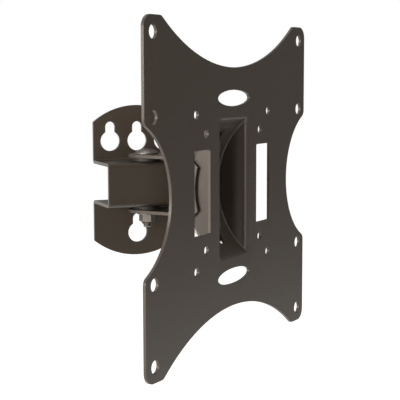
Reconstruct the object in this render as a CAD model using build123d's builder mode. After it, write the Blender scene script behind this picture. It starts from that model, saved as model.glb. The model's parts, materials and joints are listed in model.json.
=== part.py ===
from build123d import *
import os
from math import acos, asin, atan, cos, degrees, hypot, radians, sin, sqrt

# Frame: X to the right, Y back towards the wall, Z up, millimetres
# The origin is the centre of the front face of the television plate

# Sheet thicknesses
tv_sheet = 2.0
wall_sheet = 2.2
link_sheet = 2.2
saddle_sheet = 2.2

# Outline of the television plate
plate_half = 110.0
plate_corner = 8.0
side_waist = 80.0
side_cut_radius = 50.0
end_waist = 80.0
end_cut_radius = 152.0
lobe_rounding = 5.0

# Screw holes, windows and ovals of the television plate
large_hole = 8.6
small_hole = 5.8
large_patterns = ((200.0, 200.0), (200.0, 100.0))
small_patterns = ((100.0, 100.0), (75.0, 75.0))
window_width = 20.3
window_height = 54.6
window_centre = 42.45
window_corner = 1.0
oval_width = 44.0
oval_height = 10.8
oval_margin = 8.2

# Pocket drawn backwards out of the television plate, round the tilt axis
pocket_depth = 23.1
pocket_reach = 46.2
pocket_half = 18.5
pocket_corner = 1.2
press_bend = 0.6
tilt_travel = 12.0

# Cup-head bolts, with a square neck
bolt_radius = 3.0
head_radius = 8.25
head_height = 3.9
head_rim = 1.0
neck_width = 6.2
neck_length = 4.2
thread_chamfer = 0.6
tilt_bolt_length = 16.0
swivel_bolt_length = 51.5

# Nuts and washers
nut_flats = 10.0
nut_height = 5.2
washer_radius = 6.0
wide_washer_radius = 7.0
washer_height = 1.6
spring_washer_radius = 5.7
spring_washer_height = 1.6
spring_washer_gap = 1.4
spring_washer_lean = 0.5
turned_share = 0.6
washer_rounding = 0.2
nylon_radius = 10.0
nylon_height = 2.65

# Clearances
moving_gap = 0.3
neck_gap = 0.15
washer_gap = 0.2
swivel_fit = 0.08
thread_fit = 0.05
weld_gap = 0.1
ear_gap = 0.5
flange_gap = 0.05
cut_past = 1.0
same_size = 0.01

# Saddle behind the pocket
saddle_half = 16.0
saddle_margin = 14.0
ear_half_height = 14.5
ear_depth = 10.6
ear_bend = 2.4

# Swivel link
swivel_y = 69.6
link_half = 13.0
link_bend = 1.0

# Wall plate, drawn turned about the swivel as the photograph shows it
swivel_shown = 38.4
swivel_from_wall = 23.5
wall_half = 32.4
wall_end_radius = 50.5
wall_end_centre = 3.5
channel_depth = 38.5
channel_half = 15.2
wall_bend = 1.0
keyhole_radius = 7.15
keyhole_slot = 7.2
keyhole_rise = 10.1
keyhole_spacing = 20.0
upper_keyhole_z = 28.7
lower_keyhole_z = -37.7

# Tilt axis, and the radii round it from the pocket outwards
pocket_radius = (pocket_reach**2 + pocket_depth**2) / (2 * pocket_depth)
tilt_axis_y = pocket_depth - pocket_radius
pocket_back = pocket_radius + tv_sheet
saddle_inner = pocket_back + moving_gap
saddle_outer = saddle_inner + saddle_sheet
link_front = saddle_outer + weld_gap
link_back = link_front + link_sheet
head_seat = sqrt(pocket_radius**2 - head_radius**2) - moving_gap
ear_front = saddle_outer - ear_depth

# Widths and heights that follow from the pieces they fit round
pocket_outer_half = pocket_half + tv_sheet
ear_inner = pocket_outer_half + ear_gap
ear_outer = ear_inner + saddle_sheet
flange_inner = channel_half + moving_gap + nylon_height
flange_outer = flange_inner + link_sheet
slot_half_width = neck_width / 2 + neck_gap
slot_end_room = neck_width / 2 - sqrt(slot_half_width**2 - (neck_width / 2) ** 2) + moving_gap
oval_centre = pocket_reach + oval_margin + oval_height / 2

# Angle up to the tilt bolts, whose washers clear the flanges of the link
bolt_angle = degrees(
    asin((flange_outer + flange_gap) / hypot(link_front, washer_radius)) + atan(washer_radius / link_front))
saddle_half_angle = bolt_angle + saddle_margin
slot_travel = tilt_travel + degrees(slot_end_room / pocket_radius)

os.makedirs("parts", exist_ok=True)


def radial_plane(angle, radius, inwards=False):
    """A plane across a spoke of the tilt axis, at an angle up from straight back."""
    spoke = Vector(0, cos(radians(angle)), sin(radians(angle)))
    origin = Vector(0, tilt_axis_y, 0) + spoke * radius
    return Plane(origin=origin, x_dir=(1, 0, 0), z_dir=-spoke if inwards else spoke)


def ring_sector(inner, outer, half_angle):
    """A band round the tilt axis in the sketch in hand, straddling straight back."""
    centre = (tilt_axis_y, 0)
    with BuildLine() as band:
        near = CenterArc(centre, inner, -half_angle, 2 * half_angle)
        far = CenterArc(centre, outer, -half_angle, 2 * half_angle)
        Line(near @ 0, far @ 0)
        Line(near @ 1, far @ 1)
    make_face(band.edges())


def round_segment(radius, front):
    """The part of a disc round the tilt axis that lies behind y = front."""
    half_angle = degrees(acos((front - tilt_axis_y) / radius))
    with BuildLine() as segment:
        back = CenterArc((tilt_axis_y, 0), radius, -half_angle, 2 * half_angle)
        Line(back @ 0, back @ 1)
    make_face(segment.edges())


def section_plane(base):
    """The plane through the axis of a turned piece that stands on base."""
    return Plane(origin=base.origin, x_dir=base.x_dir, z_dir=-base.y_dir)


def cup_head_bolt(seat, length):
    """A bolt whose head stands on the seat plane and whose shank runs back from it."""
    with BuildPart() as bolt:
        with BuildSketch(section_plane(seat)):
            with BuildLine():
                Polyline((0, head_height), (0, 0), (head_radius, 0), (head_radius, head_rim))
                TangentArc((0, head_height), (head_radius, head_rim), tangent=(1, 0))
            make_face()
        revolve(axis=Axis(seat.origin, seat.z_dir))
        with BuildSketch(seat):
            Rectangle(neck_width, neck_width)
        extrude(amount=-neck_length)
        with BuildSketch(seat):
            Circle(bolt_radius)
        extrude(amount=-length)
        tip = bolt.faces().sort_by(Axis(seat.origin, seat.z_dir))[0]
        chamfer(tip.edges(), thread_chamfer)
    return bolt.part


def flat_washer(base, radius, height, bore):
    """A flat ring on the base plane."""
    with BuildPart() as ring:
        with BuildSketch(base):
            Circle(radius)
            Circle(bore, mode=Mode.SUBTRACT)
        extrude(amount=height)
        fillet(ring.edges().filter_by(GeomType.CIRCLE).group_by(SortBy.RADIUS)[-1], washer_rounding)
    return ring.part


def spring_washer(base):
    """A split ring, pressed flat, with a slanting gap."""
    with BuildPart() as ring:
        with BuildSketch(base):
            Circle(spring_washer_radius)
            Circle(bolt_radius + washer_gap, mode=Mode.SUBTRACT)
        extrude(amount=spring_washer_height)
        middle = (bolt_radius + spring_washer_radius) / 2
        with BuildSketch(base.offset(spring_washer_height / 2), mode=Mode.PRIVATE) as gap_line:
            with Locations((middle, 0)):
                Rectangle(spring_washer_radius, spring_washer_gap)
        slant = base.z_dir + base.y_dir * spring_washer_lean
        extrude(gap_line.sketch, amount=spring_washer_height, dir=slant, both=True, mode=Mode.SUBTRACT)
    return ring.part


def hexagon_nut(base):
    """A nut on the base plane, with its corners turned off at both ends."""
    corner = nut_flats / 2 / cos(radians(30))
    turned = (corner - nut_flats / 2) * turned_share
    with BuildPart() as nut:
        with BuildSketch(base):
            RegularPolygon(nut_flats / 2, 6, major_radius=False)
            Circle(bolt_radius + thread_fit, mode=Mode.SUBTRACT)
        extrude(amount=nut_height)
        with BuildSketch(section_plane(base)):
            with BuildLine():
                Polyline(
                    (0, 0), (nut_flats / 2, 0), (corner, turned), (corner, nut_height - turned),
                    (nut_flats / 2, nut_height), (0, nut_height), close=True)
            make_face()
        revolve(axis=Axis(base.origin, base.z_dir), mode=Mode.INTERSECT)
    return nut.part


def save(part, label):
    """Label a finished piece and write it."""
    part.label = label
    export_step(part, f"parts/{label}.step")


# Television plate: the waisted sheet with its holes
with BuildPart() as tv_plate:
    with BuildSketch(Plane.XZ) as outline:
        RectangleRounded(2 * plate_half, 2 * plate_half, plate_corner)
        with Locations((side_waist + side_cut_radius, 0), (-side_waist - side_cut_radius, 0)):
            Circle(side_cut_radius, mode=Mode.SUBTRACT)
        with Locations((0, end_waist + end_cut_radius), (0, -end_waist - end_cut_radius)):
            Circle(end_cut_radius, mode=Mode.SUBTRACT)
        straight = plate_half - plate_corner - same_size
        fillet(
            [v for v in outline.vertices() if min(abs(v.X), abs(v.Y)) < straight],
            lobe_rounding)
        for wide, high in large_patterns:
            with GridLocations(wide, high, 2, 2):
                Circle(large_hole / 2, mode=Mode.SUBTRACT)
        for wide, high in small_patterns:
            with GridLocations(wide, high, 2, 2):
                Circle(small_hole / 2, mode=Mode.SUBTRACT)
        with Locations((window_centre, 0), (-window_centre, 0)):
            RectangleRounded(window_width, window_height, window_corner, mode=Mode.SUBTRACT)
        with Locations((0, oval_centre), (0, -oval_centre)):
            Ellipse(oval_width / 2, oval_height / 2, mode=Mode.SUBTRACT)
    extrude(amount=-tv_sheet)

    # Drawn pocket: its outside, with the corners that the press leaves
    with BuildSketch(Plane.YZ.offset(-pocket_outer_half)):
        round_segment(pocket_back, tv_sheet / 2)
    extrude(amount=2 * pocket_outer_half)
    rims = tv_plate.edges().filter_by(GeomType.CIRCLE).filter_by(
        lambda e: abs(e.radius - pocket_back) < same_size)
    fillet(rims, pocket_corner + tv_sheet)
    back_face = tv_plate.faces().filter_by(Plane.XZ).sort_by(Axis.Y)[-1]
    fillet(back_face.inner_wires().sort_by(SortBy.LENGTH)[-1].edges(), press_bend)

    # Inside of the pocket, and the rounded lip where the sheet turns into it
    with BuildSketch(Plane.YZ.offset(-pocket_half)):
        round_segment(pocket_radius, -tv_sheet)
    extrude(amount=2 * pocket_half, mode=Mode.SUBTRACT)
    floor_rims = tv_plate.edges().filter_by(GeomType.CIRCLE).filter_by(
        lambda e: abs(e.radius - pocket_radius) < same_size)
    fillet(floor_rims, pocket_corner)
    front_face = tv_plate.faces().filter_by(Plane.XZ).sort_by(Axis.Y)[0]
    fillet(front_face.inner_wires().sort_by(SortBy.LENGTH)[-1].edges(), press_bend + tv_sheet)

    # Tilt slots, one for each bolt
    for side in (1, -1):
        near = side * (bolt_angle - slot_travel)
        far = side * (bolt_angle + slot_travel)
        for angle in (near, far):
            with BuildSketch(radial_plane(angle, pocket_radius - cut_past)):
                Circle(slot_half_width)
            extrude(amount=tv_sheet + 2 * cut_past, mode=Mode.SUBTRACT)
        start = radial_plane(min(near, far), pocket_radius + tv_sheet / 2)
        with BuildSketch(Plane(origin=start.origin, x_dir=(1, 0, 0), z_dir=start.y_dir)):
            Rectangle(2 * slot_half_width, tv_sheet + 2 * cut_past)
        revolve(
            axis=Axis((0, tilt_axis_y, 0), (1, 0, 0)),
            revolution_arc=abs(far - near),
            mode=Mode.SUBTRACT)

save(tv_plate.part, "tv_plate")

# Saddle: a curved strip behind the pocket with an ear beside each of its walls
ear_tip = tilt_axis_y + sqrt(ear_front**2 - ear_half_height**2)
flare = tilt_axis_y + saddle_outer + cut_past - ear_tip
with BuildPart() as tilt_saddle:
    with BuildSketch(Plane.YZ.offset(-ear_outer)):
        ring_sector(ear_front, saddle_outer, saddle_half_angle)
    extrude(amount=2 * ear_outer)
    back_rims = tilt_saddle.edges().filter_by(GeomType.CIRCLE).filter_by(
        lambda e: abs(e.radius - saddle_outer) < same_size)
    fillet(back_rims, ear_bend)
    with BuildSketch(Plane.YZ.offset(-ear_inner)):
        ring_sector(ear_front - cut_past, saddle_inner, saddle_half_angle + saddle_margin)
    extrude(amount=2 * ear_inner, mode=Mode.SUBTRACT)

    # The ears flare backwards, and past them only the narrow strip goes on
    for first in (saddle_half, -ear_outer - cut_past):
        for up in (1, -1):
            with BuildSketch(Plane.YZ.offset(first)):
                with BuildLine():
                    Polyline(
                        (ear_tip - flare, up * ear_half_height), (ear_tip, up * ear_half_height),
                        (ear_tip + flare, up * (ear_half_height + flare)),
                        (ear_tip + flare, up * saddle_outer), (ear_tip - flare, up * saddle_outer),
                        close=True)
                make_face()
            extrude(amount=ear_outer + cut_past - saddle_half, mode=Mode.SUBTRACT)
    for angle in (bolt_angle, -bolt_angle):
        with BuildSketch(radial_plane(angle, saddle_inner - cut_past)):
            Rectangle(2 * slot_half_width, 2 * slot_half_width)
        extrude(amount=saddle_sheet + 2 * cut_past, mode=Mode.SUBTRACT)

save(tilt_saddle.part, "tilt_saddle")

# Swivel link: two flanges folded back from a web that is curved like the saddle
with BuildPart() as swivel_link:
    flange_start = tilt_axis_y + sqrt(link_front**2 - flange_inner**2)
    flange_run = swivel_y + link_half - flange_start
    flange_middle = (flange_inner + flange_outer) / 2
    with BuildSketch(Plane.YZ.offset(-link_half)) as link_section:
        ring_sector(link_front, link_back, bolt_angle)
        with Locations((tilt_axis_y + link_back, 0)):
            Rectangle(2 * link_back, 2 * flange_outer, mode=Mode.INTERSECT)
        for level in (flange_middle, -flange_middle):
            with Locations((flange_start + flange_run / 2, level)):
                Rectangle(flange_run, link_sheet)
        bend_corners = [v for v in link_section.vertices() if v.X < swivel_y]
        fillet([v for v in bend_corners if abs(abs(v.Y) - flange_inner) < same_size], link_bend)
        bend_corners = [v for v in link_section.vertices() if v.X < swivel_y]
        fillet([v for v in bend_corners if abs(abs(v.Y) - flange_outer) < same_size], link_bend + link_sheet)
    extrude(amount=2 * link_half)
    with BuildSketch(Plane.XY.offset(-flange_outer)):
        with Locations((0, swivel_y)):
            Circle(link_half)
        with Locations((0, swivel_y / 2)):
            Rectangle(2 * link_half, swivel_y)
    extrude(amount=2 * flange_outer, mode=Mode.INTERSECT)
    with BuildSketch(Plane.XY.offset(flange_inner)):
        with Locations((0, swivel_y)):
            Rectangle(2 * slot_half_width, 2 * slot_half_width)
    extrude(amount=link_sheet, mode=Mode.SUBTRACT)
    with BuildSketch(Plane.XY.offset(-flange_outer)):
        with Locations((0, swivel_y)):
            Circle(bolt_radius + washer_gap)
    extrude(amount=link_sheet, mode=Mode.SUBTRACT)

save(swivel_link.part, "swivel_link")

# Directions of the wall plate, turned about the swivel
turn = radians(swivel_shown)
wall_right = Vector(cos(turn), -sin(turn), 0)
wall_out = Vector(-sin(turn), -cos(turn), 0)
wall_back = Vector(0, swivel_y, 0) - wall_out * swivel_from_wall
wall_section = Plane(origin=wall_back + wall_right * wall_half, x_dir=wall_out, z_dir=-wall_right)
wall_face = Plane(origin=wall_back, x_dir=wall_right, z_dir=wall_out)

# Wall plate: one sheet whose middle is folded forward into a channel
with BuildPart() as wall_plate:
    with BuildSketch(wall_section) as hat:
        with Locations((wall_sheet / 2, 0)):
            Rectangle(wall_sheet, 2 * (wall_end_centre + wall_end_radius))
        with Locations((channel_depth / 2, 0)):
            Rectangle(channel_depth, 2 * channel_half)
        inner_half = channel_half - wall_sheet
        with Locations(((channel_depth - wall_sheet) / 2, 0)):
            Rectangle(channel_depth - wall_sheet, 2 * inner_half, mode=Mode.SUBTRACT)
        bends = hat.vertices()
        front_corners = [v for v in bends if abs(v.X - channel_depth) < same_size]
        back_corners = [v for v in bends if abs(v.X) < same_size and abs(v.Y) < channel_half]
        fillet(front_corners + back_corners, wall_bend + wall_sheet)
        bends = hat.vertices()
        hidden_corners = [v for v in bends if abs(v.X - channel_depth + wall_sheet) < same_size]
        root_corners = [
            v for v in bends if abs(v.X - wall_sheet) < same_size and abs(v.Y) < channel_half + same_size]
        fillet(hidden_corners + root_corners, wall_bend)
    extrude(amount=2 * wall_half)
    with BuildSketch(wall_face):
        with Locations((0, wall_end_centre), (0, -wall_end_centre)):
            Circle(wall_end_radius)
        Rectangle(2 * wall_end_radius, 2 * wall_end_centre)
    extrude(amount=channel_depth, mode=Mode.INTERSECT)
    with BuildSketch(wall_face):
        for across, up in (
            (-keyhole_spacing, upper_keyhole_z), (0, upper_keyhole_z),
            (keyhole_spacing, upper_keyhole_z), (0, lower_keyhole_z)):
            with Locations((across, up)):
                Circle(keyhole_radius)
            with Locations((across, up + keyhole_rise / 2)):
                Rectangle(keyhole_slot, keyhole_rise)
            with Locations((across, up + keyhole_rise)):
                Circle(keyhole_slot / 2)
    extrude(amount=wall_sheet, mode=Mode.SUBTRACT)
    with BuildSketch(Plane.XY.offset(-channel_half)):
        with Locations((0, swivel_y)):
            Circle(bolt_radius + swivel_fit)
    extrude(amount=2 * channel_half, mode=Mode.SUBTRACT)

save(wall_plate.part, "wall_plate")

# Swivel fasteners, from the head down
swivel_top = Plane(origin=(0, swivel_y, flange_outer), x_dir=(1, 0, 0), z_dir=(0, 0, 1))
swivel_under = Plane(origin=(0, swivel_y, -flange_outer), x_dir=(1, 0, 0), z_dir=(0, 0, -1))
nylon_bore = neck_width / sqrt(2) + washer_gap
nylon_upper_base = Plane(origin=(0, swivel_y, flange_inner - nylon_height))
nylon_lower_base = Plane(origin=(0, swivel_y, -flange_inner))

save(cup_head_bolt(swivel_top, swivel_bolt_length), "swivel_bolt")
save(flat_washer(nylon_upper_base, nylon_radius, nylon_height, nylon_bore), "nylon_washer_upper")
save(flat_washer(nylon_lower_base, nylon_radius, nylon_height, nylon_bore), "nylon_washer_lower")
save(flat_washer(swivel_under, wide_washer_radius, washer_height, bolt_radius + washer_gap), "swivel_washer")
save(hexagon_nut(swivel_under.offset(washer_height)), "swivel_nut")

# Tilt fasteners, one set above and one below the link
for name, angle in (("upper", bolt_angle), ("lower", -bolt_angle)):
    washer_base = radial_plane(angle, saddle_outer + weld_gap)
    spring_base = washer_base.offset(washer_height)
    nut_base = spring_base.offset(spring_washer_height)
    seat = radial_plane(angle, head_seat, inwards=True)
    save(cup_head_bolt(seat, tilt_bolt_length), f"tilt_bolt_{name}")
    washer = flat_washer(washer_base, washer_radius, washer_height, bolt_radius + washer_gap)
    save(washer, f"tilt_washer_{name}")
    save(spring_washer(spring_base), f"tilt_spring_washer_{name}")
    save(hexagon_nut(nut_base), f"tilt_nut_{name}")
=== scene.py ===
"""Looks of a tilt and swivel wall mount for a television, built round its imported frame.

The sheet steel pieces keep their own meshes and get a satin powder coat. The bolts are
rebuilt with their rolled threads, the link gets the weld beads that hold it to the
saddle, and a plain studio lights it all.
"""

import json
import logging
import math
from dataclasses import dataclass, field
from enum import Enum

import bmesh
import bpy
from mathutils import Matrix, Vector

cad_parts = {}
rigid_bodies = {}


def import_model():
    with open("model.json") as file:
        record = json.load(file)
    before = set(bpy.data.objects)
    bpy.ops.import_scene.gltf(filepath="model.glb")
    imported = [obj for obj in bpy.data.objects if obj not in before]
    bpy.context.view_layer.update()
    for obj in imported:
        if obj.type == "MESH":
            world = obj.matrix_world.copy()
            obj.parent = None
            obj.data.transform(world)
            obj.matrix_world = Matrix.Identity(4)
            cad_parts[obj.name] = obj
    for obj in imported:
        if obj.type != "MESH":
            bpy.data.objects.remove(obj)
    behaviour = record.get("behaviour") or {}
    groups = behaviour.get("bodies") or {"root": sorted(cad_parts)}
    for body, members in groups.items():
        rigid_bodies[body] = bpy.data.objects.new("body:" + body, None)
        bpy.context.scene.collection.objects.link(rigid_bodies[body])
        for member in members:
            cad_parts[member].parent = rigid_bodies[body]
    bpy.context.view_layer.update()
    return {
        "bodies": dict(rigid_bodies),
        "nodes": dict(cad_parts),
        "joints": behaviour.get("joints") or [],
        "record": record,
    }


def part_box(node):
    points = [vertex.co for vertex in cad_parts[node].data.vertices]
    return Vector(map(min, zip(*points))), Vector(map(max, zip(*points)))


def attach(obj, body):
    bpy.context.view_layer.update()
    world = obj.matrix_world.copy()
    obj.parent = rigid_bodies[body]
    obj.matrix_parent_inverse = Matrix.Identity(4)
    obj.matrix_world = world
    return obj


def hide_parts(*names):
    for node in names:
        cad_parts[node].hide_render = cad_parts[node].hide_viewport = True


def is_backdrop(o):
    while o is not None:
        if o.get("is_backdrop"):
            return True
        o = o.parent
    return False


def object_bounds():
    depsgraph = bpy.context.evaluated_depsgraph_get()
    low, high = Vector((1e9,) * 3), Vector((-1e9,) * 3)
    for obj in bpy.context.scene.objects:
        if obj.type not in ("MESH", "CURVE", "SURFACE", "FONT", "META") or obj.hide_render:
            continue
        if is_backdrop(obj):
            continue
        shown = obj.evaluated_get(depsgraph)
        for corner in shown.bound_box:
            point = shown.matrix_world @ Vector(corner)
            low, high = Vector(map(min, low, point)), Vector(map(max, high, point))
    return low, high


LOG = logging.getLogger("wall_mount")
MM = 0.001
FLOAT = "NodeSocketFloat"
VECTOR = "NodeSocketVector"
JOIN_WITHIN = 1e-6
LINK_BODY = "link"
KEY_TINT = (1.0, 0.89, 0.79)
FRONT_TINT = (1.0, 0.88, 0.76)
WHITE = (1.0, 1.0, 1.0)


class Slot(Enum):
    """The record's material slots."""

    COAT = "powder_coat"
    ZINC = "zinc"
    DARK = "black_zinc"
    NYLON = "nylon"


# Shader node groups


@dataclass
class NodeTree:
    """A short hand for placing and linking nodes in one tree."""

    tree: bpy.types.NodeTree

    def node(self, kind: str, **values: object) -> bpy.types.Node:
        """Place a node and set its properties.

        Args:
            kind: the node's type name.
            values: properties of the node, by name.

        Returns:
            The new node.
        """
        made = self.tree.nodes.new(kind)
        for name, value in values.items():
            setattr(made, name, value)
        return made

    def link(self, source: bpy.types.NodeSocket, target: bpy.types.NodeSocket) -> None:
        """Join an output socket to an input socket.

        Args:
            source: the output.
            target: the input.
        """
        self.tree.links.new(source, target)

    def math(self, operation: str, first: object, second: object = 0.0) -> bpy.types.NodeSocket:
        """Place a Math node.

        Args:
            operation: the node's operation.
            first: a socket or a number.
            second: a socket or a number.

        Returns:
            The node's value socket.
        """
        made = self.node("ShaderNodeMath", operation=operation)
        for place, value in enumerate((first, second)):
            if isinstance(value, bpy.types.NodeSocket):
                self.link(value, made.inputs[place])
            else:
                made.inputs[place].default_value = value
        return made.outputs[0]

    def ramp(
        self, value: bpy.types.NodeSocket, start: float, end: float, least: float = 0.0
    ) -> bpy.types.NodeSocket:
        """Place a soft ramp that ends at 1.

        Args:
            value: the socket that is read.
            start: the value at which the ramp starts.
            end: the value at which it reaches 1.
            least: what it gives before its start.

        Returns:
            The ramp's value socket.
        """
        made = self.node("ShaderNodeMapRange", interpolation_type="SMOOTHSTEP")
        self.link(value, made.inputs["Value"])
        made.inputs["From Min"].default_value = start
        made.inputs["From Max"].default_value = end
        made.inputs["To Min"].default_value = least
        return made.outputs["Result"]

    def mix_colour(self, factor: object, first: object, second: object) -> bpy.types.NodeSocket:
        """Place a colour Mix node.

        Args:
            factor: a socket or a number from 0 to 1.
            first: the colour at factor 0, a socket or four numbers.
            second: the colour at factor 1, a socket or four numbers.

        Returns:
            The node's colour socket.
        """
        made = self.node("ShaderNodeMix", data_type="RGBA")
        for name, value in (("Factor_Float", factor), ("A_Color", first), ("B_Color", second)):
            socket = next(s for s in made.inputs if s.identifier == name)
            if isinstance(value, bpy.types.NodeSocket):
                self.link(value, socket)
            else:
                socket.default_value = value
        return next(s for s in made.outputs if s.identifier == "Result_Color")


@dataclass(frozen=True)
class Socket:
    """One input or output of a shader node group."""

    name: str
    kind: str
    value: object = None


def new_group(name: str, takes: list[Socket], gives: list[Socket]) -> tuple[NodeTree, dict, dict]:
    """Make an empty shader node group.

    Args:
        name: the group's name.
        takes: its inputs.
        gives: its outputs.

    Returns:
        The tree, its inputs as sockets by name, and its outputs as sockets by name.
    """
    group = bpy.data.node_groups.new(name, "ShaderNodeTree")
    for way, sockets in (("INPUT", takes), ("OUTPUT", gives)):
        for one in sockets:
            made = group.interface.new_socket(one.name, in_out=way, socket_type=one.kind)
            if one.value is not None:
                made.default_value = one.value
    tree = NodeTree(group)
    start = tree.node("NodeGroupInput")
    end = tree.node("NodeGroupOutput")
    inputs = {s.name: start.outputs[s.name] for s in takes}
    outputs = {s.name: end.inputs[s.name] for s in gives}
    return tree, inputs, outputs


class Effects:
    """The shader node groups that the finishes share, each built once."""

    FINE_DETAIL = 3.0
    SPECK_RANGE = (0.62, 0.74)
    PATCH_DETAIL = 2.0
    SMUDGE_DETAIL = 6.0
    SMUDGE_TWIST = 1.2
    SMUDGE_RANGE = (0.52, 0.72)
    EDGE_SAMPLES = 6
    EDGE_RANGE = (0.99, 0.80)

    def __init__(self) -> None:
        """Build the three groups."""
        self.orange_peel = self._orange_peel()
        self.mottle = self._mottle()
        self.edge = self._edge()

    @staticmethod
    def _orange_peel() -> bpy.types.NodeTree:
        """The soft pebbling of sprayed powder.

        Returns:
            A group with a Height from 0 to 1 and a Speck mask.
        """
        tree, takes, gives = new_group(
            "orange_peel",
            [
                Socket("Pebble Scale", FLOAT, 900.0),
                Socket("Fine Scale", FLOAT, 3500.0),
                Socket("Fine Share", FLOAT, 0.3),
            ],
            [Socket("Height", FLOAT), Socket("Speck", FLOAT)],
        )
        place = tree.node("ShaderNodeTexCoord")
        pebbles = tree.node("ShaderNodeTexVoronoi", feature="SMOOTH_F1")
        pebbles.inputs["Smoothness"].default_value = 1.0
        fine = tree.node("ShaderNodeTexNoise")
        fine.inputs["Detail"].default_value = Effects.FINE_DETAIL
        for texture, scale in ((pebbles, "Pebble Scale"), (fine, "Fine Scale")):
            tree.link(place.outputs["Object"], texture.inputs["Vector"])
            tree.link(takes[scale], texture.inputs["Scale"])
        soft = tree.math("SUBTRACT", 1.0, pebbles.outputs["Distance"])
        grain = tree.math("MULTIPLY", fine.outputs["Fac"], takes["Fine Share"])
        tree.link(tree.math("ADD", soft, grain), gives["Height"])
        tree.link(tree.ramp(fine.outputs["Fac"], *Effects.SPECK_RANGE), gives["Speck"])
        return tree.tree

    @staticmethod
    def _mottle() -> bpy.types.NodeTree:
        """A slow change of tone over a hand's width, with faint smudges.

        Returns:
            A group with a Tone from 0 to 1 and a Smudge mask.
        """
        tree, takes, gives = new_group(
            "mottle",
            [Socket("Patch Scale", FLOAT, 14.0), Socket("Smudge Scale", FLOAT, 45.0)],
            [Socket("Tone", FLOAT), Socket("Smudge", FLOAT)],
        )
        place = tree.node("ShaderNodeTexCoord")
        patch = tree.node("ShaderNodeTexNoise")
        patch.inputs["Detail"].default_value = Effects.PATCH_DETAIL
        smudge = tree.node("ShaderNodeTexNoise")
        smudge.inputs["Detail"].default_value = Effects.SMUDGE_DETAIL
        smudge.inputs["Distortion"].default_value = Effects.SMUDGE_TWIST
        for texture, scale in ((patch, "Patch Scale"), (smudge, "Smudge Scale")):
            tree.link(place.outputs["Object"], texture.inputs["Vector"])
            tree.link(takes[scale], texture.inputs["Scale"])
        tree.link(patch.outputs["Fac"], gives["Tone"])
        tree.link(tree.ramp(smudge.outputs["Fac"], *Effects.SMUDGE_RANGE), gives["Smudge"])
        return tree.tree

    @staticmethod
    def _edge() -> bpy.types.NodeTree:
        """The rounding of a coated or rolled edge, and a mask for the highlight painted along it.

        Returns:
            A group with the rounded Normal and an Edge mask, 1 on the edge itself.
        """
        tree, takes, gives = new_group(
            "edge",
            [Socket("Radius", FLOAT, 0.3 * MM)],
            [Socket("Normal", VECTOR), Socket("Edge", FLOAT)],
        )
        round_off = tree.node("ShaderNodeBevel", samples=Effects.EDGE_SAMPLES)
        tree.link(takes["Radius"], round_off.inputs["Radius"])
        tree.link(round_off.outputs["Normal"], gives["Normal"])
        flat = tree.node("ShaderNodeNewGeometry")
        across = tree.node("ShaderNodeVectorMath", operation="DOT_PRODUCT")
        tree.link(round_off.outputs["Normal"], across.inputs[0])
        tree.link(flat.outputs["Normal"], across.inputs[1])
        tree.link(tree.ramp(across.outputs["Value"], *Effects.EDGE_RANGE), gives["Edge"])
        return tree.tree


# Finishes


@dataclass(frozen=True)
class Finish:
    """What every finish of the mount has in common."""

    slot: Slot
    colour: tuple[float, float, float]
    roughness: float
    metallic: float = 0.0
    specular: float = 0.5
    edge_radius: float = 0.3 * MM
    # edge_highlight and edge_highlight_factor paint the edges lighter: a painted highlight on the rounded
    # edges.
    edge_highlight: float = 0.25
    tone_spread: float = 0.12
    speck_lift: float = 0.10
    speck_shade: float = 2.2
    edge_highlight_factor: float = 2.0
    peel_height: float = 0.007 * MM
    pebble_scale: float = 900.0
    smudge_polish: float = 0.02

    def build(self, effects: Effects) -> bpy.types.Material:
        """Make the material.

        Args:
            effects: the shared node groups.

        Returns:
            The finished material.
        """
        made = bpy.data.materials.new(self.slot.value + "_finish")
        made.use_nodes = True
        tree = NodeTree(made.node_tree)
        shader = next(n for n in made.node_tree.nodes if n.type == "BSDF_PRINCIPLED")
        shader.inputs["Metallic"].default_value = self.metallic
        shader.inputs["Specular IOR Level"].default_value = self.specular
        edge = tree.node("ShaderNodeGroup", node_tree=effects.edge)
        edge.inputs["Radius"].default_value = self.edge_radius
        mottle = tree.node("ShaderNodeGroup", node_tree=effects.mottle)
        peel = tree.node("ShaderNodeGroup", node_tree=effects.orange_peel)
        peel.inputs["Pebble Scale"].default_value = self.pebble_scale
        self._dress(tree, shader, edge, mottle, peel)
        return made

    def shade(self, factor: float) -> tuple[float, float, float, float]:
        """The finish's colour made lighter or darker.

        Args:
            factor: how many times as light.

        Returns:
            Red, green, blue and alpha.
        """
        return tuple(min(1.0, c * factor) for c in self.colour) + (1.0,)

    def _dress(
        self,
        tree: NodeTree,
        shader: bpy.types.Node,
        edge: bpy.types.Node,
        mottle: bpy.types.Node,
        peel: bpy.types.Node,
    ) -> None:
        """Join colour, roughness and normal to the shader.

        Args:
            tree: the material's tree.
            shader: its Principled node.
            edge: the edge group.
            mottle: the mottle group.
            peel: the orange peel group.
        """
        low = self.shade(1.0 - self.tone_spread)
        high = self.shade(1.0 + self.tone_spread)
        tone = tree.mix_colour(mottle.outputs["Tone"], low, high)
        speck = tree.math("MULTIPLY", peel.outputs["Speck"], self.speck_lift)
        specked = tree.mix_colour(speck, tone, self.shade(self.speck_shade))
        # Painted highlight: the edges are mixed towards a lighter copy of the finish's colour.
        edge_highlight_share = tree.math("MULTIPLY", edge.outputs["Edge"], self.edge_highlight)
        colour = tree.mix_colour(edge_highlight_share, specked, self.shade(self.edge_highlight_factor))
        tree.link(colour, shader.inputs["Base Color"])
        smudge = tree.math("MULTIPLY", mottle.outputs["Smudge"], -self.smudge_polish)
        tree.link(tree.math("ADD", smudge, self.roughness), shader.inputs["Roughness"])
        bump = tree.node("ShaderNodeBump")
        bump.inputs["Strength"].default_value = 1.0
        bump.inputs["Distance"].default_value = self.peel_height
        tree.link(peel.outputs["Height"], bump.inputs["Height"])
        tree.link(edge.outputs["Normal"], bump.inputs["Normal"])
        tree.link(bump.outputs["Normal"], shader.inputs["Normal"])


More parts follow.
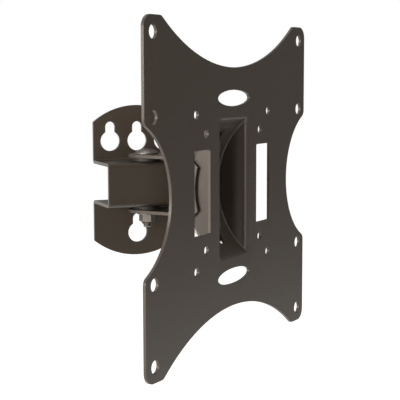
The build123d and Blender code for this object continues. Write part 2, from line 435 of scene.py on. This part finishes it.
POWDER_COAT = Finish(
    Slot.COAT, colour=(0.0605, 0.0510, 0.0405), roughness=0.36, edge_highlight=0.03, tone_spread=0.06,
)
ZINC_PLATE = Finish(
    Slot.ZINC, colour=(0.50, 0.49, 0.46), roughness=0.34, metallic=1.0, edge_radius=0.15 * MM,
    edge_highlight=0.3, tone_spread=0.10, speck_lift=0.05, peel_height=0.006 * MM, pebble_scale=2600.0,
)
DARK_PLATE = Finish(
    Slot.DARK, colour=(0.175, 0.162, 0.149), roughness=0.38, metallic=0.6, edge_radius=0.15 * MM,
    edge_highlight=0.3, tone_spread=0.10, speck_lift=0.08, peel_height=0.006 * MM, pebble_scale=2600.0,
)
BLACK_NYLON = Finish(
    Slot.NYLON, colour=(0.022, 0.022, 0.023), roughness=0.55, edge_radius=0.2 * MM,
    edge_highlight=0.1, tone_spread=0.08, speck_lift=0.05, peel_height=0.01 * MM, pebble_scale=1500.0,
)


# Mesh helpers


def new_piece(name: str, mesh: bmesh.types.BMesh, smooth_angle: float = 30.0) -> bpy.types.Object:
    """Turn a bmesh into an object whose gentle edges are shaded smooth.

    Args:
        name: the piece's name.
        mesh: the finished bmesh, which is freed.
        smooth_angle: edges that turn by more than this, in degrees, stay sharp.

    Returns:
        The new object, linked to the scene.
    """
    bmesh.ops.recalc_face_normals(mesh, faces=mesh.faces)
    for face in mesh.faces:
        face.smooth = True
    limit = math.radians(smooth_angle)
    for edge in mesh.edges:
        edge.smooth = len(edge.link_faces) == 2 and edge.calc_face_angle(math.pi) < limit
    data = bpy.data.meshes.new(name)
    mesh.to_mesh(data)
    mesh.free()
    made = bpy.data.objects.new(name, data)
    bpy.context.scene.collection.objects.link(made)
    return made


def ring_of(
    mesh: bmesh.types.BMesh, place: Matrix, points: list[tuple[float, float, float]]
) -> list[bmesh.types.BMVert]:
    """Add a closed ring of vertices.

    Args:
        mesh: the bmesh.
        place: where the ring's own frame lies.
        points: the ring in its own frame.

    Returns:
        The new vertices in order.
    """
    return [mesh.verts.new(place @ Vector(p)) for p in points]


def bridge(mesh: bmesh.types.BMesh, first: list, second: list) -> None:
    """Join two rings of the same length with quads.

    Args:
        mesh: the bmesh.
        first: one ring's vertices.
        second: the other ring's vertices.
    """
    count = len(first)
    for i in range(count):
        j = (i + 1) % count
        mesh.faces.new((first[i], first[j], second[j], second[i]))


def close_stack(mesh: bmesh.types.BMesh, rings: list) -> None:
    """Join a stack of rings and cap its two ends.

    Args:
        mesh: the bmesh.
        rings: the rings in order.
    """
    mesh.faces.new(rings[0])
    for first, second in zip(rings, rings[1:]):
        bridge(mesh, first, second)
    mesh.faces.new(rings[-1])


@dataclass
class CupHeadBolt:
    """An M6 bolt with a low domed head, a square neck and a rolled thread."""

    name: str
    node: str
    place: Matrix
    length: float
    thread_from: float
    head_radius: float = 8.25 * MM
    head_height: float = 3.9 * MM
    head_rim: float = 1.0 * MM
    rim_round: float = 0.25 * MM
    dome_rows: int = 14
    neck_width: float = 6.2 * MM
    neck_length: float = 4.2 * MM
    neck_corner: float = 0.4 * MM
    corner_steps: int = 4
    run_out: float = 0.5 * MM
    sunk: float = 0.05 * MM
    shank_start: float = 0.2 * MM
    shank_radius: float = 3.0 * MM
    thread_depth: float = 0.55 * MM
    pitch: float = 1.0 * MM
    flank_slope: float = 2.4
    root_width: float = 0.2
    tip: float = 0.6 * MM
    around: int = 48
    steps_per_turn: int = 8

    def _ring(self, mesh: bmesh.types.BMesh, radius: float, height: float) -> list:
        """One ring of vertices round the bolt's axis.

        Args:
            mesh: the bmesh.
            radius: the ring's radius.
            height: its height over the head's seat.

        Returns:
            The new vertices in order.
        """
        turns = [2 * math.pi * i / self.around for i in range(self.around)]
        points = [(radius * math.cos(a), radius * math.sin(a), height) for a in turns]
        return ring_of(mesh, self.place, points)

    def _head(self, mesh: bmesh.types.BMesh) -> None:
        """The dome and its flat underside.

        Args:
            mesh: the bmesh.
        """
        rise = self.head_height - self.head_rim
        dome = (self.head_radius**2 + rise**2) / (2 * rise)
        reach = math.asin(self.head_radius / dome)
        under = self._ring(mesh, self.neck_width / 2, 0.0)
        mesh.faces.new(under)
        rows = [(self.head_radius - self.rim_round, 0.0), (self.head_radius, self.rim_round)]
        for step in range(self.dome_rows):
            angle = reach * (1 - step / self.dome_rows)
            rows.append((dome * math.sin(angle), self.head_height - dome * (1 - math.cos(angle))))
        last = under
        for radius, height in rows:
            fresh = self._ring(mesh, radius, height)
            bridge(mesh, last, fresh)
            last = fresh
        crown = mesh.verts.new(self.place @ Vector((0, 0, self.head_height)))
        for i in range(self.around):
            mesh.faces.new((last[i], last[(i + 1) % self.around], crown))

    def _neck(self, mesh: bmesh.types.BMesh) -> None:
        """The square neck, its long edges rounded and its lower end run out to the shank.

        Args:
            mesh: the bmesh.
        """
        half = self.neck_width / 2
        corner = self.neck_corner
        outline = []
        for quarter in range(4):
            middle = math.radians(90 * quarter + 45)
            for step in range(self.corner_steps + 1):
                turn = math.radians(90 * (quarter + step / self.corner_steps))
                outline.append((
                    math.copysign(half - corner, math.cos(middle)) + corner * math.cos(turn),
                    math.copysign(half - corner, math.sin(middle)) + corner * math.sin(turn),
                ))
        rings = []
        end = -self.neck_length
        for height, share in ((self.sunk, 1.0), (end + self.run_out, 1.0), (end, 0.0)):
            points = []
            for x, y in outline:
                reach = math.hypot(x, y)
                pull = share + (1 - share) * self.shank_radius / reach
                points.append((x * pull, y * pull, height))
            rings.append(ring_of(mesh, self.place, points))
        close_stack(mesh, rings)

    def _depth(self, angle: float, height: float) -> float:
        """How deep the thread's groove is at a point.

        Args:
            angle: the point's angle round the axis, in radians.
            height: its height over the head's seat.

        Returns:
            The depth, 0 at a crest and above the thread.
        """
        below = -self.thread_from - height
        if below < 0:
            return 0.0
        phase = (height / self.pitch + angle / (2 * math.pi)) % 1.0
        groove = min(1.0, max(0.0, 1.0 - abs(phase - 0.5) * self.flank_slope + self.root_width))
        return self.thread_depth * groove * min(1.0, below / self.pitch)

    def _shank(self, mesh: bmesh.types.BMesh) -> None:
        """The plain and threaded shank, with a turned point.

        Args:
            mesh: the bmesh.
        """
        heights = [-self.neck_length + self.shank_start, -self.thread_from]
        step = self.pitch / self.steps_per_turn
        while heights[-1] - step > -self.length + self.tip:
            heights.append(heights[-1] - step)
        heights.append(-self.length + self.tip)
        heights.append(-self.length)
        rings = []
        for height in heights:
            pointed = max(0.0, -self.length + self.tip - height)
            points = []
            for i in range(self.around):
                angle = 2 * math.pi * i / self.around
                radius = self.shank_radius - max(self._depth(angle, height), pointed)
                points.append((radius * math.cos(angle), radius * math.sin(angle), height))
            rings.append(ring_of(mesh, self.place, points))
        close_stack(mesh, rings)

    def build(self, finish: bpy.types.Material, body: str) -> bpy.types.Object:
        """Make the bolt and set it in the place of its plain node.

        Args:
            finish: its material.
            body: the body that it moves with.

        Returns:
            The bolt.
        """
        mesh = bmesh.new()
        self._head(mesh)
        self._neck(mesh)
        self._shank(mesh)
        made = new_piece(self.name, mesh)
        made.data.materials.append(finish)
        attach(made, body)
        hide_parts(self.node)
        LOG.info("%s: %d faces", self.name, len(made.data.polygons))
        return made


@dataclass
class WeldBead:
    """A fillet weld along one side of the link's web, on the back of the saddle."""

    name: str
    side: float
    axis_y: float
    radius: float = 62.25 * MM
    web_half: float = 13.0 * MM
    half_angle: float = 15.0
    leg: float = 2.0 * MM
    ripple: float = 1.1 * MM
    ripple_height: float = 0.16 * MM
    rows_per_ripple: int = 5
    end_run: float = 1.2 * MM
    least_swell: float = 0.05
    crown_share: float = 0.95
    sunk: float = 0.05 * MM
    root_sunk: float = 0.02 * MM
    around: int = 10
    smooth_angle: float = 50.0

    def build(self, finish: bpy.types.Material, body: str) -> bpy.types.Object:
        """Make the bead.

        Args:
            finish: its material.
            body: the body that it moves with.

        Returns:
            The bead.
        """
        mesh = bmesh.new()
        run = 2 * math.radians(self.half_angle) * self.radius
        count = int(run / (self.ripple / self.rows_per_ripple))
        inner = self.side * (self.web_half - self.sunk)
        root = self.radius - self.root_sunk
        rings = []
        for row in range(count + 1):
            along = run * row / count
            angle = along / self.radius - math.radians(self.half_angle)
            end = min(along, run - along)
            swell = math.sqrt(max(0.0, 1 - max(0.0, 1 - end / self.end_run) ** 2))
            phase = (along / self.ripple) % 1.0
            leg = self.leg + self.ripple_height * math.sin(math.pi * phase)
            leg *= max(swell, self.least_swell)
            ring = []
            for i in range(self.around + 1):
                turn = math.radians(90) * i / self.around
                out = leg * math.cos(turn)
                back = leg * math.sin(turn)
                x = self.side * (self.web_half + out - self.sunk)
                reach = self.radius + back * self.crown_share
                ring.append((x, self.axis_y + reach * math.cos(angle), reach * math.sin(angle)))
            ring.append((inner, self.axis_y + root * math.cos(angle), root * math.sin(angle)))
            rings.append(ring_of(mesh, Matrix.Identity(4), ring))
        close_stack(mesh, rings)
        made = new_piece(self.name, mesh, self.smooth_angle)
        made.data.materials.append(finish)
        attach(made, body)
        LOG.info("%s: %d faces", self.name, len(made.data.polygons))
        return made


@dataclass
class SheetWork:
    """The pressed and folded steel pieces, whose own meshes show."""

    nodes: tuple[str, ...] = ("tv_plate", "tilt_saddle", "swivel_link", "wall_plate")
    smooth_angle: float = 32.0

    def dress(self, frame: dict, finish: bpy.types.Material) -> None:
        """Coat each piece.

        Args:
            frame: the loaded frame.
            finish: the powder coat.
        """
        for name in self.nodes:
            coat_node(frame["nodes"][name], finish, self.smooth_angle)
            LOG.info("%s: coated", name)


@dataclass
class SmallHardware:
    """The washers and nuts, whose own meshes show."""

    zinc: tuple[str, ...] = (
        "tilt_washer_upper", "tilt_washer_lower", "tilt_spring_washer_upper",
        "tilt_spring_washer_lower", "tilt_nut_upper", "tilt_nut_lower",
    )
    dark: tuple[str, ...] = ("swivel_washer", "swivel_nut")
    nylon: tuple[str, ...] = ("nylon_washer_upper", "nylon_washer_lower")
    smooth_angle: float = 28.0

    def dress(self, frame: dict, finishes: dict[Slot, bpy.types.Material]) -> None:
        """Give each piece its finish.

        Args:
            frame: the loaded frame.
            finishes: the materials by slot.
        """
        kinds = ((self.zinc, Slot.ZINC), (self.dark, Slot.DARK), (self.nylon, Slot.NYLON))
        for names, slot in kinds:
            for name in names:
                coat_node(frame["nodes"][name], finishes[slot], self.smooth_angle)
                LOG.info("%s: %s", name, slot.value)


def coat_node(node: bpy.types.Object, finish: bpy.types.Material, smooth_angle: float) -> None:
    """Put a finish on a frame node and shade its gentle edges smooth.

    Args:
        node: the frame node's object.
        finish: its material.
        smooth_angle: edges that turn by more than this, in degrees, stay sharp.
    """
    if not node.data.materials:
        node.data.materials.append(finish)
    for place in range(len(node.data.materials)):
        node.data.materials[place] = finish
    weld = node.modifiers.new("join_corners", "WELD")
    weld.merge_threshold = JOIN_WITHIN
    node.data.shade_smooth()
    split = node.modifiers.new("keep_edges", "EDGE_SPLIT")
    split.split_angle = math.radians(smooth_angle)
    split.use_edge_sharp = False


# Studio


@dataclass
class Camera:
    """The photograph's viewpoint, found from the plate's hole patterns."""

    location: tuple[float, float, float] = (-0.641963, -0.345465, 0.072851)
    forward: tuple[float, float, float] = (0.8598731, 0.49833622, -0.11081181)
    up: tuple[float, float, float] = (0.09705792, 0.05352122, 0.99383864)
    sensor: float = 36.0
    lens: float = 98.26
    nearest: float = 0.01
    farthest: float = 20.0

    def build(self) -> bpy.types.Object:
        """Make the scene's camera.

        Returns:
            The camera.
        """
        data = bpy.data.cameras.new("camera")
        data.sensor_width = self.sensor
        data.lens = self.lens
        data.clip_start = self.nearest
        data.clip_end = self.farthest
        made = bpy.data.objects.new("camera", data)
        bpy.context.scene.collection.objects.link(made)
        back = -Vector(self.forward).normalized()
        right = Vector(self.up).cross(back).normalized()
        up = back.cross(right)
        turn = Matrix((right, up, back)).transposed().to_4x4()
        made.matrix_world = Matrix.Translation(self.location) @ turn
        bpy.context.scene.camera = made
        LOG.info("camera: lens %.2f mm", self.lens)
        return made


@dataclass
class Lamp:
    """A soft rectangular light that faces a point."""

    name: str
    place: tuple[float, float, float]
    size: float
    power: float
    aim: tuple[float, float, float] = (0.0, 0.03, 0.0)
    colour: tuple[float, float, float] = WHITE

    def build(self) -> None:
        """Make the light."""
        data = bpy.data.lights.new(self.name, "AREA")
        data.shape = "SQUARE"
        data.size = self.size
        data.energy = self.power
        data.color = self.colour
        made = bpy.data.objects.new(self.name, data)
        bpy.context.scene.collection.objects.link(made)
        made.location = self.place
        aim = Vector(self.aim) - Vector(self.place)
        made.rotation_mode = "QUATERNION"
        made.rotation_quaternion = aim.to_track_quat("-Z", "Y")
        LOG.info("%s: %.1f W", self.name, self.power)


@dataclass
class Studio:
    """A pale floor, a white surround and soft lamps."""

    floor_drop: float = 0.16
    floor_half: float = 6.0
    surround: float = 0.16
    paper: float = 0.9
    room_glow: float = 0.09
    room_tint: tuple[float, float, float] = (1.0, 0.94, 0.87)
    paper_side: tuple[float, float, float] = (-0.75, 0.66, 0.0)
    sky_range: tuple[float, float] = (-0.30, 0.15)
    floor_range: tuple[float, float] = (-1.7, 0.6)
    floor_roughness: float = 0.9
    floor_specular: float = 0.1
    lamps: list[Lamp] = field(default_factory=lambda: [
        Lamp("key_left", (-1.5, 0.50, 0.25), 0.5, 18.5, colour=KEY_TINT),
        Lamp("lens_side", (-1.5, -0.34, 0.16), 0.2, 5.0, colour=KEY_TINT),
        Lamp("soft_top", (0.1, 0.35, 1.5), 0.6, 3.0),
        Lamp("front_soft", (-0.05, -0.95, 0.65), 0.5, 2.4, colour=FRONT_TINT),
    ])

    def _world(self) -> None:
        """Light the scene softly from all round, with white where the camera looks."""
        world = bpy.data.worlds.new("surround")
        bpy.context.scene.world = world
        world.use_nodes = True
        tree = NodeTree(world.node_tree)
        world.node_tree.nodes.clear()
        seen = self._seen(tree, self._paper_share(tree, "Generated", self.sky_range))
        plain = tree.node("ShaderNodeBackground")
        plain.inputs["Color"].default_value = (*self.room_tint, 1.0)
        plain.inputs["Strength"].default_value = self.surround
        white = tree.node("ShaderNodeBackground")
        white.inputs["Color"].default_value = (*WHITE, 1.0)
        white.inputs["Strength"].default_value = 1.0
        both = tree.node("ShaderNodeMixShader")
        tree.link(seen, both.inputs[0])
        tree.link(plain.outputs[0], both.inputs[1])
        tree.link(white.outputs[0], both.inputs[2])
        end = tree.node("ShaderNodeOutputWorld")
        tree.link(both.outputs[0], end.inputs["Surface"])

    def _paper_share(
        self, tree: NodeTree, space: str, limits: tuple[float, float]
    ) -> bpy.types.NodeSocket:
        """Where white paper lies and hangs: behind the mount and on its left, not towards the room.

        Args:
            tree: the tree to build in.
            space: the texture coordinate to measure in.
            limits: how far towards the paper the room's side ends, and where it is all white.

        Returns:
            The node's value socket, 1 on the paper.
        """
        place = tree.node("ShaderNodeTexCoord")
        along = tree.node("ShaderNodeVectorMath", operation="DOT_PRODUCT")
        tree.link(place.outputs[space], along.inputs[0])
        along.inputs[1].default_value = self.paper_side
        return tree.ramp(along.outputs["Value"], *limits, least=self.room_glow)

    @staticmethod
    def _seen(tree: NodeTree, mirrored: bpy.types.NodeSocket) -> bpy.types.NodeSocket:
        """How much white a ray from the camera, a mirror or a clear surface meets.

        Args:
            tree: the tree to build in.
            mirrored: the share that a mirror sees.

        Returns:
            The node's value socket, from 0 to 1.
        """
        path = tree.node("ShaderNodeLightPath")
        glossy = tree.math("MULTIPLY", path.outputs["Is Glossy Ray"], mirrored)
        seen = tree.math("ADD", path.outputs["Is Camera Ray"], glossy)
        seen = tree.math("ADD", seen, path.outputs["Is Transmission Ray"])
        return tree.math("MINIMUM", seen, 1.0)

    def _floor(self) -> None:
        """A pale floor that keeps the mount's shadow."""
        mesh = bmesh.new()
        h = self.floor_half
        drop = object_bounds()[0].z - self.floor_drop
        corners = [(-h, -h), (h, -h), (h, h), (-h, h)]
        mesh.faces.new([mesh.verts.new((x, y, drop)) for x, y in corners])
        made = new_piece("floor", mesh)
        made.data.materials.append(self._floor_finish())
        made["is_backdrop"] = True
        LOG.info("floor: %.3f m under the mount", self.floor_drop)

    def _floor_finish(self) -> bpy.types.Material:
        """Plain white paper, bright to the camera and to mirrors.

        Returns:
            The floor's material.
        """
        made = bpy.data.materials.new("floor_finish")
        made.use_nodes = True
        tree = NodeTree(made.node_tree)
        shader = next(n for n in made.node_tree.nodes if n.type == "BSDF_PRINCIPLED")
        shader.inputs["Base Color"].default_value = (self.paper, self.paper, self.paper, 1.0)
        shader.inputs["Roughness"].default_value = self.floor_roughness
        shader.inputs["Specular IOR Level"].default_value = self.floor_specular
        glow = tree.node("ShaderNodeEmission")
        glow.inputs["Strength"].default_value = 1.0 - self.paper * self.surround
        dark = tree.node("ShaderNodeEmission")
        dark.inputs["Strength"].default_value = 0.0
        pick = tree.node("ShaderNodeMixShader")
        share = self._paper_share(tree, "Object", self.floor_range)
        tree.link(self._seen(tree, share), pick.inputs[0])
        tree.link(dark.outputs[0], pick.inputs[1])
        tree.link(glow.outputs[0], pick.inputs[2])
        both = tree.node("ShaderNodeAddShader")
        tree.link(shader.outputs[0], both.inputs[0])
        tree.link(pick.outputs[0], both.inputs[1])
        end = next(n for n in made.node_tree.nodes if n.type == "OUTPUT_MATERIAL")
        tree.link(both.outputs[0], end.inputs["Surface"])
        return made

    def build(self) -> None:
        """Make the surround, the floor and the lamps."""
        self._world()
        self._floor()
        for lamp in self.lamps:
            lamp.build()


# The mount


@dataclass
class WallMount:
    """The whole mount: sheet pieces, bolts, small hardware and welds."""

    frame: dict
    bolt_angle: float = 24.5
    head_seat: float = 56.858 * MM
    swivel_bolt_length: float = 51.5 * MM
    swivel_thread_from: float = 22.0 * MM
    tilt_bolt_length: float = 16.0 * MM
    tilt_thread_from: float = 5.5 * MM

    def _joint(self, name: str) -> Vector:
        """Where a joint's axis runs.

        Args:
            name: the joint's name.

        Returns:
            A point on the axis, in metres.
        """
        joint = next(j for j in self.frame["joints"] if j["name"] == name)
        return Vector(joint["pos_m"])

    def _swivel_bolt(self) -> CupHeadBolt:
        """The bolt that the link swings on, head up on the upper flange.

        Returns:
            The bolt.
        """
        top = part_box("swivel_link")[1].z
        place = Matrix.Translation(Vector((0, self._joint("swivel").y, top)))
        return CupHeadBolt(
            "swivel_bolt_threaded", "swivel_bolt", place, self.swivel_bolt_length, self.swivel_thread_from,
        )

    def _tilt_bolt(self, which: str, angle: float) -> CupHeadBolt:
        """A tilt bolt, its head inside the pocket.

        Args:
            which: upper or lower.
            angle: its angle up from straight back, in degrees.

        Returns:
            The bolt.
        """
        turn = math.radians(angle)
        spoke = Vector((0, math.cos(turn), math.sin(turn)))
        seat = self._joint("tilt") + spoke * self.head_seat
        across = Vector((1, 0, 0))
        up = -spoke
        side = up.cross(across)
        turned = Matrix((across, side, up)).transposed().to_4x4()
        place = Matrix.Translation(seat) @ turned
        name = f"tilt_bolt_{which}"
        return CupHeadBolt(
            name + "_threaded", name, place, self.tilt_bolt_length, self.tilt_thread_from,
        )

    def build(self) -> None:
        """Build and dress every piece in order."""
        effects = Effects()
        looks = (POWDER_COAT, ZINC_PLATE, DARK_PLATE, BLACK_NYLON)
        finishes = {look.slot: look.build(effects) for look in looks}
        SheetWork().dress(self.frame, finishes[Slot.COAT])
        SmallHardware().dress(self.frame, finishes)
        bolts = [
            self._swivel_bolt(),
            self._tilt_bolt("upper", self.bolt_angle),
            self._tilt_bolt("lower", -self.bolt_angle),
        ]
        for bolt in bolts:
            bolt.build(finishes[Slot.DARK], LINK_BODY)
        axis_y = self._joint("tilt").y
        for name, side in (("weld_left", -1.0), ("weld_right", 1.0)):
            WeldBead(name, side, axis_y).build(finishes[Slot.COAT], LINK_BODY)


def main() -> None:
    """Load the frame, and build the mount, the studio and the camera."""
    logging.basicConfig(level=logging.INFO, format="%(name)s %(message)s")
    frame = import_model()
    WallMount(frame).build()
    Studio().build()
    Camera().build()
    bpy.context.scene.view_settings.view_transform = "Standard"


if __name__ == "__main__":
    main()
